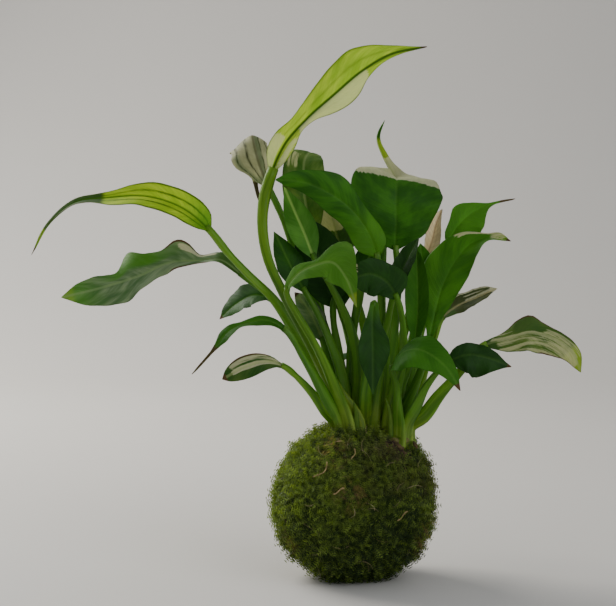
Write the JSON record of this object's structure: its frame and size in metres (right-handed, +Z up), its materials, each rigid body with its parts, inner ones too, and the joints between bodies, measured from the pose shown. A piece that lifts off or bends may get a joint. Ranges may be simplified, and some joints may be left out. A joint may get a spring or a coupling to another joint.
{
  "type": "kokedama moss ball plant",
  "caption": "Clump of variegated broad-leaved stems growing from the top of a moss-covered ball of soil that rests on a small flat spot.",
  "frame": {"origin": "centre of the small flat spot under the moss ball, where it rests", "axes": "+Z up; +X towards the side of the long variegated leaf that leans away from the highest leaf's crown; +Y away from the side that is looked at from the front"},
  "size_m": [0.3636, 0.1861, 0.3583],
  "materials": {
    "moss": "matte",
    "soil": "matte",
    "roots": "matte",
    "crown_tissue": "matte",
    "leaf_green": "satin",
    "leaf_dark": "satin",
    "leaf_lime": "satin",
    "leaf_cream": "satin",
    "leaf_dry": "matte",
    "sheath": "satin",
    "straw": "matte",
    "bark": "matte"
  },
  "bodies": {
    "root": {"moss_layer": "moss", "soil_ball": "soil", "root_ball": "roots", "crown_front_left": "crown_tissue", "crown_front_right": "crown_tissue", "crown_middle": "crown_tissue", "crown_back_left": "crown_tissue", "crown_back_right": "crown_tissue", "leaf_top_new": "leaf_lime", "leaf_left_arching": "leaf_lime", "leaf_left_long": "leaf_green", "leaf_left_small": "leaf_green", "leaf_left_curled": "leaf_green", "leaf_left_low": "leaf_cream", "leaf_crumpled": "leaf_cream", "leaf_centre_broad": "leaf_green", "leaf_centre_tall": "leaf_dark", "leaf_right_broad": "leaf_green", "leaf_right_top": "leaf_green", "leaf_dry": "leaf_dry", "leaf_right_curled": "leaf_cream", "leaf_right_long": "leaf_green", "leaf_right_dark": "leaf_dark", "leaf_front_right": "leaf_green", "leaf_front_centre": "leaf_green", "leaf_centre_short": "leaf_dark", "leaf_centre_hanging": "leaf_dark", "leaf_centre_narrow": "leaf_dark", "leaf_right_upright": "leaf_green", "leaf_back_tall": "leaf_green", "leaf_back_cream": "leaf_cream", "leaf_back_dark": "leaf_dark", "leaf_back_grey": "leaf_green", "leaf_inner_left": "leaf_green", "leaf_inner_dark": "leaf_dark", "leaf_inner_centre": "leaf_dark", "leaf_inner_right": "leaf_green", "leaf_inner_low": "leaf_green", "leaf_back_low": "leaf_green", "leaf_back_high": "leaf_green", "leaf_back_left": "leaf_green", "leaf_back_left_low": "leaf_green", "leaf_back_right": "leaf_green", "sheath_left": "sheath", "sheath_right": "sheath", "dry_needle_1": "straw", "dry_needle_2": "straw", "dry_needle_3": "straw", "dry_needle_4": "straw", "dry_needle_5": "straw", "dry_needle_6": "straw", "dry_needle_7": "straw", "dry_needle_8": "straw", "bark_flake_1": "bark", "bark_flake_2": "bark", "bark_flake_3": "bark"}
  },
  "joints": []
}
